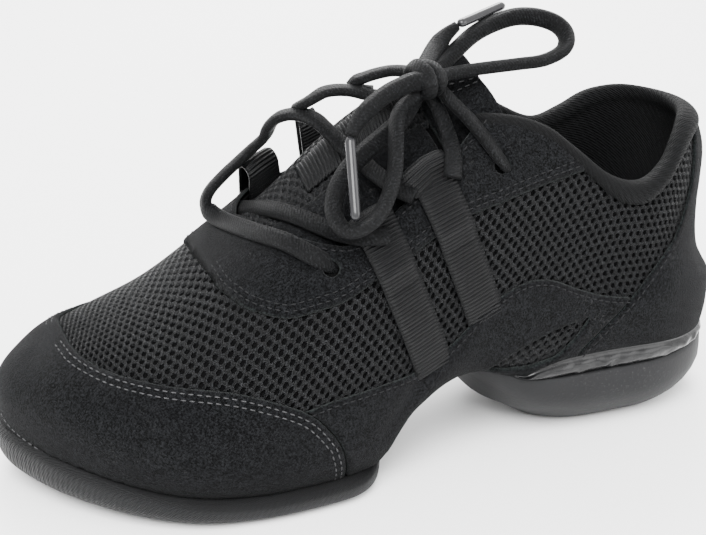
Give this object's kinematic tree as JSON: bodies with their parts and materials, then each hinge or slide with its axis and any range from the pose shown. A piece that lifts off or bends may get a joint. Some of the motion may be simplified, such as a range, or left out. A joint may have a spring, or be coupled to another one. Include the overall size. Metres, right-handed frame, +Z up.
{
  "type": "dance sneaker",
  "caption": "Left low dance sneaker with a split sole: mesh and suede upper, padded collar, webbing lace loops, flat laces tied in a bow, and a low stacked heel.",
  "frame": {"origin": "on the floor, on the heel's flat tread, 40.5 mm ahead of the back of the heel and on the shoe's length line", "axes": "+X from the heel to the toe, +Y to the outer (lateral) side, +Z up from the floor"},
  "size_m": [0.263, 0.1035, 0.1497],
  "materials": {
    "rubber": "matte, finely ribbed",
    "gloss_rand": "glossy, slightly wrinkled",
    "insole": "matte",
    "spacer_mesh": "open spacer mesh",
    "suede": "napped suede",
    "knit": "matte knit",
    "webbing": "ribbed, satin",
    "lace": "flat woven",
    "aglet": "glossy"
  },
  "bodies": {
    "root": {"forefoot_sole": "rubber", "heel_sole": "rubber", "heel_rand": "gloss_rand", "insole": "insole", "upper": "spacer_mesh", "toe_guard": "suede", "heel_counter": "suede", "side_panel_lateral": "suede", "side_panel_medial": "suede", "eyestay": "suede", "collar": "knit", "tongue": "suede", "tongue_keeper": "webbing", "webbing_loop_lateral_front": "webbing", "webbing_loop_medial_front": "webbing", "webbing_loop_lateral_rear": "webbing", "webbing_loop_medial_rear": "webbing", "lace_bars": "lace", "lace_knot": "lace", "lace_loop_front": "lace", "lace_loop_rear": "lace", "lace_end_rear": "lace", "lace_end_front": "lace", "aglet_rear": "aglet", "aglet_front": "aglet"}
  },
  "joints": []
}
